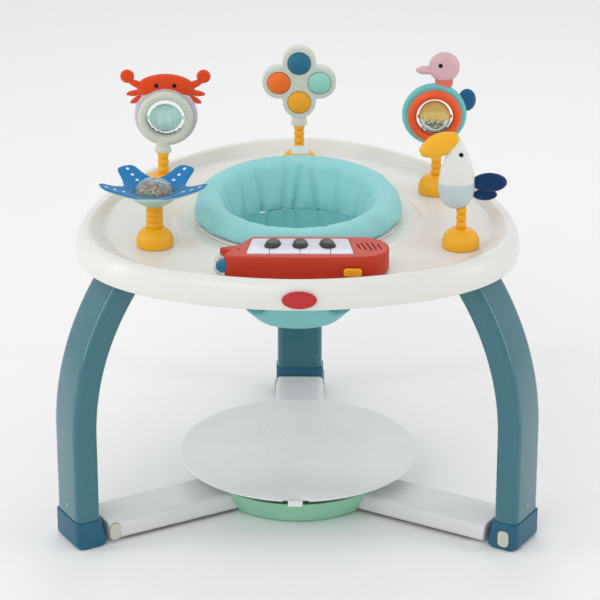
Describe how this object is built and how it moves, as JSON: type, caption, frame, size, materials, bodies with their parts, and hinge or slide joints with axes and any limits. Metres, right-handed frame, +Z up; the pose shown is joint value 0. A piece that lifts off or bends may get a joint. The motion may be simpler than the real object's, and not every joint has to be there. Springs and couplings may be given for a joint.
{
  "type": "baby activity jumper",
  "caption": "Three-legged baby activity stand: a sprung foot platform, a tray with a turning fabric seat, a toy piano and toys on bending stems.",
  "frame": {"origin": "on the floor under the middle of the hub, which is the seat's turning axis", "axes": "+Z up; +Y towards the back leg; -Y towards the toy piano (the front); +X to the viewer's right"},
  "size_m": [0.7268, 0.7155, 0.667],
  "materials": {
    "white_plastic": "satin moulded white plastic",
    "leg_teal": "glossy grey-teal",
    "foot_blue": "satin dark teal-blue",
    "beam_grey": "satin pale grey",
    "hub_mint": "satin mint green",
    "disc_grey": "fine-grained pale grey-white with anti-slip dots",
    "catch_cream": "satin cream",
    "spring_steel": "bright drawn wire",
    "seat_fabric": "woven light aqua polyester",
    "badge_red": "gloss red, blank",
    "piano_red": "satin orange-red",
    "key_white": "gloss off-white",
    "key_black": "satin near-black",
    "yellow": "satin warm yellow",
    "blue": "gloss blue",
    "clear": "clear moulded plastic",
    "board_green": "solder-masked board",
    "speaker_black": "black paper cone and frame",
    "cup_mint": "satin pale mint",
    "star_fabric": "printed woven fabric, dotted",
    "grey_green": "satin pale grey-green",
    "spinner_teal": "ribbed translucent pale teal",
    "crab_fabric": "orange-red plush",
    "clover_grey": "satin pale grey-beige",
    "pop_petrol": "soft silicone, raised dots",
    "pop_orange": "soft silicone, raised dots",
    "pop_mint": "soft silicone, raised dots",
    "pop_yellow": "soft silicone, raised dots",
    "ring_orange": "satin orange",
    "seahorse_fabric": "pink and coral plush",
    "toucan_shell": "satin off-white egg with a yellow beak",
    "toucan_fabric": "navy woven fabric"
  },
  "bodies": {
    "frame": {"hub_base": "hub_mint", "foot_back": "foot_blue", "leg_back": "leg_teal", "beam_back": "beam_grey", "foot_left": "foot_blue", "leg_left": "leg_teal", "beam_left": "beam_grey", "foot_right": "foot_blue", "leg_right": "leg_teal", "beam_right": "beam_grey", "bounce_spring": "spring_steel", "tray": "white_plastic", "tray_badge": "badge_red", "piano_case": "piano_red", "piano_base": "piano_red", "piano_board": "board_green", "piano_speaker": "speaker_black", "roller_cover": "clear", "star_base": "yellow", "crab_base": "yellow", "clover_base": "yellow", "seahorse_base": "yellow", "toucan_base": "yellow"},
    "platform": {"platform_disc": "disc_grey"},
    "lock": {"platform_tab": "disc_grey"},
    "seat": {"seat_ring": "white_plastic", "seat_retainer": "white_plastic", "seat_pad": "seat_fabric", "seat_sling": "seat_fabric"},
    "switch": {"mode_switch": "yellow"},
    "roller": {"roller_wheel": "blue"},
    "star_head": {"star_cup": "cup_mint", "star_arms": "star_fabric", "star_bead_dome": "clear"},
    "crab_head": {"crab_ring": "grey_green", "crab_plush": "crab_fabric"},
    "crab_barrel": {"crab_spinner": "spinner_teal"},
    "clover_head": {"clover_body": "clover_grey"},
    "seahorse_head": {"seahorse_ring": "ring_orange", "seahorse_plush": "seahorse_fabric"},
    "seahorse_rattle": {"seahorse_ball": "clear"},
    "toucan_head": {"toucan_body": "toucan_shell", "toucan_wing": "toucan_fabric"},
    "white_1": {"key_white_1": "key_white"},
    "white_2": {"key_white_2": "key_white"},
    "white_3": {"key_white_3": "key_white"},
    "white_4": {"key_white_4": "key_white"},
    "black_1": {"key_black_1": "key_black"},
    "black_2": {"key_black_2": "key_black"},
    "black_3": {"key_black_3": "key_black"},
    "foot_button_back": {"foot_catch_back": "catch_cream"},
    "beam_button_back": {"beam_catch_back": "catch_cream"},
    "foot_button_left": {"foot_catch_left": "catch_cream"},
    "beam_button_left": {"beam_catch_left": "catch_cream"},
    "foot_button_right": {"foot_catch_right": "catch_cream"},
    "beam_button_right": {"beam_catch_right": "catch_cream"},
    "pop_top": {"clover_pop_top": "pop_petrol"},
    "pop_left": {"clover_pop_left": "pop_orange"},
    "pop_right": {"clover_pop_right": "pop_mint"},
    "pop_bottom": {"clover_pop_bottom": "pop_yellow"}
  },
  "joints": [
    {"name": "platform_bounce", "type": "slide", "parent": "frame", "child": "platform", "axis": [0, 0, 1], "range_m": [-0.014, 0], "stiffness_N_per_m": 1500, "springref_m": 0.02, "deforming": ["bounce_spring"]},
    {"name": "platform_lock_slide", "type": "slide", "parent": "platform", "child": "lock", "axis": [0, 1, 0], "range_m": [0, 0.005]},
    {"name": "seat_turn", "type": "hinge", "parent": "frame", "child": "seat", "pos_m": [0, 0, 0.45], "axis": [0, 0, 1], "continuous": true},
    {"name": "mode_slide", "type": "slide", "parent": "frame", "child": "switch", "axis": [1, 0, 0], "range_m": [-0.005, 0.005]},
    {"name": "roller_spin", "type": "hinge", "parent": "frame", "child": "roller", "pos_m": [-0.106, -0.25, 0.467], "axis": [0, 1, 0], "continuous": true},
    {"name": "white_1_press", "type": "slide", "parent": "frame", "child": "white_1", "axis": [0, 0, 1], "range_m": [-0.0025, 0], "stiffness_N_per_m": 250, "springref_m": 0.003},
    {"name": "white_2_press", "type": "slide", "parent": "frame", "child": "white_2", "axis": [0, 0, 1], "range_m": [-0.0025, 0], "stiffness_N_per_m": 250, "springref_m": 0.003},
    {"name": "white_3_press", "type": "slide", "parent": "frame", "child": "white_3", "axis": [0, 0, 1], "range_m": [-0.0025, 0], "stiffness_N_per_m": 250, "springref_m": 0.003},
    {"name": "white_4_press", "type": "slide", "parent": "frame", "child": "white_4", "axis": [0, 0, 1], "range_m": [-0.0025, 0], "stiffness_N_per_m": 250, "springref_m": 0.003},
    {"name": "black_1_press", "type": "slide", "parent": "frame", "child": "black_1", "axis": [0, 0, 1], "range_m": [-0.0025, 0], "stiffness_N_per_m": 250, "springref_m": 0.003},
    {"name": "black_2_press", "type": "slide", "parent": "frame", "child": "black_2", "axis": [0, 0, 1], "range_m": [-0.0025, 0], "stiffness_N_per_m": 250, "springref_m": 0.003},
    {"name": "black_3_press", "type": "slide", "parent": "frame", "child": "black_3", "axis": [0, 0, 1], "range_m": [-0.0025, 0], "stiffness_N_per_m": 250, "springref_m": 0.003},
    {"name": "foot_button_back_press", "type": "slide", "parent": "frame", "child": "foot_button_back", "axis": [-1, 0, 0], "range_m": [0, 0.003], "stiffness_N_per_m": 400, "springref_m": -0.002},
    {"name": "beam_button_back_press", "type": "slide", "parent": "frame", "child": "beam_button_back", "axis": [1, 0, 0], "range_m": [0, 0.003], "stiffness_N_per_m": 400, "springref_m": -0.002},
    {"name": "foot_button_left_press", "type": "slide", "parent": "frame", "child": "foot_button_left", "axis": [0.5, -0.866, 0], "range_m": [0, 0.003], "stiffness_N_per_m": 400, "springref_m": -0.002},
    {"name": "beam_button_left_press", "type": "slide", "parent": "frame", "child": "beam_button_left", "axis": [-0.5, 0.866, 0], "range_m": [0, 0.003], "stiffness_N_per_m": 400, "springref_m": -0.002},
    {"name": "foot_button_right_press", "type": "slide", "parent": "frame", "child": "foot_button_right", "axis": [0.5, 0.866, 0], "range_m": [0, 0.003], "stiffness_N_per_m": 400, "springref_m": -0.002},
    {"name": "beam_button_right_press", "type": "slide", "parent": "frame", "child": "beam_button_right", "axis": [-0.5, -0.866, 0], "range_m": [0, 0.003], "stiffness_N_per_m": 400, "springref_m": -0.002},
    {"name": "star_sway", "type": "hinge", "parent": "frame", "child": "star_head", "pos_m": [-0.211, -0.1065, 0.49], "axis": [1, 0, 0], "range_deg": [-12, 12], "stiffness_Nm_per_rad": 2},
    {"name": "crab_sway", "type": "hinge", "parent": "frame", "child": "crab_head", "pos_m": [-0.211, 0.136, 0.49], "axis": [1, 0, 0], "range_deg": [-12, 12], "stiffness_Nm_per_rad": 2},
    {"name": "clover_sway", "type": "hinge", "parent": "frame", "child": "clover_head", "pos_m": [0, 0.249, 0.49], "axis": [1, 0, 0], "range_deg": [-12, 12], "stiffness_Nm_per_rad": 2},
    {"name": "seahorse_sway", "type": "hinge", "parent": "frame", "child": "seahorse_head", "pos_m": [0.214, 0.13, 0.49], "axis": [1, 0, 0], "range_deg": [-12, 12], "stiffness_Nm_per_rad": 2},
    {"name": "toucan_sway", "type": "hinge", "parent": "frame", "child": "toucan_head", "pos_m": [0.2415, -0.109, 0.49], "axis": [1, 0, 0], "range_deg": [-12, 12], "stiffness_Nm_per_rad": 2},
    {"name": "crab_barrel_spin", "type": "hinge", "parent": "crab_head", "child": "crab_barrel", "pos_m": [-0.206, 0.136, 0.563], "axis": [1, 0, 0], "continuous": true},
    {"name": "seahorse_rattle_spin", "type": "hinge", "parent": "seahorse_head", "child": "seahorse_rattle", "pos_m": [0.21, 0.13, 0.568], "axis": [1, 0, 0], "continuous": true},
    {"name": "pop_top_press", "type": "slide", "parent": "clover_head", "child": "pop_top", "axis": [0, 1, 0], "range_m": [0, 0.004], "stiffness_N_per_m": 300, "springref_m": -0.001},
    {"name": "pop_left_press", "type": "slide", "parent": "clover_head", "child": "pop_left", "axis": [0, 1, 0], "range_m": [0, 0.004], "stiffness_N_per_m": 300, "springref_m": -0.001},
    {"name": "pop_right_press", "type": "slide", "parent": "clover_head", "child": "pop_right", "axis": [0, 1, 0], "range_m": [0, 0.004], "stiffness_N_per_m": 300, "springref_m": -0.001},
    {"name": "pop_bottom_press", "type": "slide", "parent": "clover_head", "child": "pop_bottom", "axis": [0, 1, 0], "range_m": [0, 0.004], "stiffness_N_per_m": 300, "springref_m": -0.001}
  ]
}
